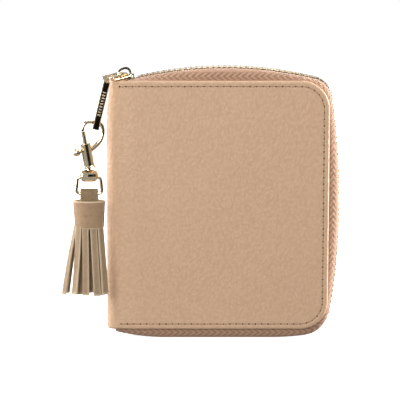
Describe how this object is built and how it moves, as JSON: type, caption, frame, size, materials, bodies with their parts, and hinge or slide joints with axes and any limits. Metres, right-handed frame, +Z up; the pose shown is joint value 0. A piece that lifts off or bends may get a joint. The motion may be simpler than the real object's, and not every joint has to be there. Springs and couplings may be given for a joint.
{
  "type": "zip around wallet",
  "caption": "Upright zip around wallet in pebbled leather, with card slots, a coin pocket and a snap hook tassel on the zip.",
  "frame": {"origin": "middle of the wallet on the surface it stands on, midway between its two covers", "axes": "+Z up from the base to the top, -Y out of the front cover, -X towards the spine"},
  "size_m": [0.1219, 0.0327, 0.1238],
  "materials": {
    "cover_leather": "pebbled, satin",
    "strap_leather": "fine grain, satin",
    "pocket_leather": "fine grain, satin",
    "board": "pressed fibre board",
    "lining": "plain weave",
    "zip_tape": "woven, herringbone",
    "zip_teeth": "polished",
    "coil": "satin",
    "window_film": "clear film",
    "gold_metal": "pale gold plate, polished",
    "spring_steel": "drawn wire"
  },
  "bodies": {
    "front": {"front_cover": "cover_leather", "front_board": "board", "front_lining": "lining", "front_zip_tape": "zip_tape", "front_zip_teeth": "zip_teeth", "front_zip_stops": "zip_teeth", "bill_pocket": "pocket_leather", "card_slot_1": "pocket_leather", "card_slot_2": "pocket_leather", "card_slot_3": "pocket_leather", "card_slot_4": "pocket_leather"},
    "spine": {"spine_cover": "cover_leather", "spine_lining": "lining"},
    "back": {"back_cover": "cover_leather", "back_board": "board", "back_lining": "lining", "back_zip_tape": "zip_tape", "back_zip_teeth": "zip_teeth", "back_zip_stop": "zip_teeth", "coin_pocket": "lining", "coin_zip_tape": "zip_tape", "coin_zip_coil": "coil", "coin_zip_stops": "gold_metal", "back_card_slot_1": "pocket_leather", "back_card_slot_2": "pocket_leather", "id_window_frame": "pocket_leather", "id_window_film": "window_film"},
    "slider": {"slider_top_plate": "gold_metal", "slider_bottom_plate": "gold_metal", "slider_bridge": "gold_metal"},
    "link": {"pull_link": "gold_metal"},
    "bar": {"pull_bar": "gold_metal"},
    "hook": {"snap_hook": "gold_metal", "snap_spring": "spring_steel"},
    "bolt": {"snap_bolt": "gold_metal"},
    "swivel": {"swivel_eye": "gold_metal", "swivel_rivet": "gold_metal"},
    "tassel": {"tassel_strap": "strap_leather", "tassel_cap": "strap_leather", "tassel_core": "strap_leather", "tassel_fringe": "strap_leather"},
    "coin_slider": {"coin_slider": "gold_metal"},
    "coin_puller": {"coin_puller": "gold_metal"}
  },
  "joints": [
    {"name": "spine_fold", "type": "hinge", "parent": "front", "child": "spine", "pos_m": [-0.04914, -0.01014, 0.06], "axis": [0, 0, 1], "range_deg": [0, 90]},
    {"name": "cover_fold", "type": "hinge", "parent": "spine", "child": "back", "pos_m": [-0.04914, 0.01014, 0.06], "axis": [0, 0, 1], "range_deg": [0, 90]},
    {"name": "slider_travel", "type": "hinge", "parent": "front", "child": "slider", "pos_m": [0.003, 0, -0.0534], "axis": [0, 1, 0], "range_deg": [0, 26]},
    {"name": "link_lift", "type": "hinge", "parent": "slider", "child": "link", "pos_m": [-0.04335, 0.0024, 0.1201], "axis": [-0.9479, 0.3186, 0], "range_deg": [0, 25]},
    {"name": "bar_hinge", "type": "hinge", "parent": "link", "child": "bar", "pos_m": [-0.0493, -0.0153, 0.1191], "axis": [0.9479, -0.3186, 0], "range_deg": [-100, 0]},
    {"name": "hook_hinge", "type": "hinge", "parent": "bar", "child": "hook", "pos_m": [-0.05422, -0.0153, 0.09935], "axis": [-0.9118, -0.342, 0.2273], "range_deg": [-30, 90]},
    {"name": "bolt_slide", "type": "slide", "parent": "hook", "child": "bolt", "axis": [0.1668, 0, -0.986], "range_m": [0, 0.0038], "stiffness_N_per_m": 150, "springref_m": -0.002, "deforming": ["snap_spring"]},
    {"name": "swivel_spin", "type": "hinge", "parent": "hook", "child": "swivel", "pos_m": [-0.0575, -0.0167, 0.0813], "axis": [0, 0, 1], "continuous": true},
    {"name": "tassel_hinge", "type": "hinge", "parent": "swivel", "child": "tassel", "pos_m": [-0.0575, -0.0167, 0.0679], "axis": [1, 0, 0], "range_deg": [-60, 60]},
    {"name": "coin_slider_slide", "type": "slide", "parent": "back", "child": "coin_slider", "axis": [1, 0, 0], "range_m": [0, 0.052]},
    {"name": "coin_puller_hinge", "type": "hinge", "parent": "coin_slider", "child": "coin_puller", "pos_m": [-0.0276, 0.00315, 0.096], "axis": [0, 0, 1], "range_deg": [-35, 0]}
  ],
  "couplings": [
    {"joint": "cover_fold", "follows": "spine_fold", "ratio": 1}
  ]
}
